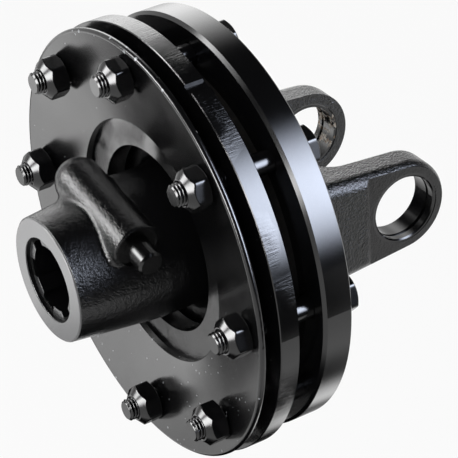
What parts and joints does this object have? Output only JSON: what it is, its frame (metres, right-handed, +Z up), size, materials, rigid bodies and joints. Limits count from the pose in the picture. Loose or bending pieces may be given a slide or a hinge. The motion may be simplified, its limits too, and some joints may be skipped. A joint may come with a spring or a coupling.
{
  "type": "torque limiter",
  "caption": "Friction torque limiter for a drive shaft: splined hub with push-pin lock, dished spring plate, clamped friction discs and a flange yoke with crosswise bore.",
  "frame": {"origin": "on the shaft axis, where the teeth of the hub's splined bore begin, behind the counterbore", "axes": "+Y along the shaft axis from the hub's nose to the yoke, +X along the yoke's cross bore, +Z up in the picture"},
  "size_m": [0.196, 0.1748, 0.196],
  "materials": {
    "black_paint_cast": "semi-gloss over cast or forged skin",
    "black_paint_gloss": "gloss",
    "black_pin": "semi-gloss",
    "plain_steel": "plain turned",
    "friction_lining": "matt moulded lining",
    "bronze": "turned"
  },
  "bodies": {
    "hub": {"hub": "black_paint_cast", "pin_bush": "plain_steel", "pin_spring": "plain_steel"},
    "lock": {"locking_pin": "black_pin"},
    "housing": {"spring_plate": "black_paint_gloss", "pressure_plate": "black_paint_gloss", "friction_disc_front": "friction_lining", "friction_disc_rear": "friction_lining", "yoke": "black_paint_cast", "centring_bush": "bronze", "bolt_1": "black_paint_gloss", "bolt_2": "black_paint_gloss", "bolt_3": "black_paint_gloss", "bolt_4": "black_paint_gloss", "bolt_5": "black_paint_gloss", "bolt_6": "black_paint_gloss", "bolt_7": "black_paint_gloss", "bolt_8": "black_paint_gloss", "nut_1": "black_paint_gloss", "nut_2": "black_paint_gloss", "nut_3": "black_paint_gloss", "nut_4": "black_paint_gloss", "nut_5": "black_paint_gloss", "nut_6": "black_paint_gloss", "nut_7": "black_paint_gloss", "nut_8": "black_paint_gloss"}
  },
  "joints": [
    {"name": "slip", "type": "hinge", "parent": "hub", "child": "housing", "pos_m": [0, 0, 0], "axis": [0, 1, 0], "continuous": true},
    {"name": "pin_press", "type": "slide", "parent": "hub", "child": "lock", "axis": [-0.9803, 0, 0.1977], "range_m": [0, 0.0105], "stiffness_N_per_m": 1500, "springref_m": -0.008, "deforming": ["pin_spring"]}
  ]
}
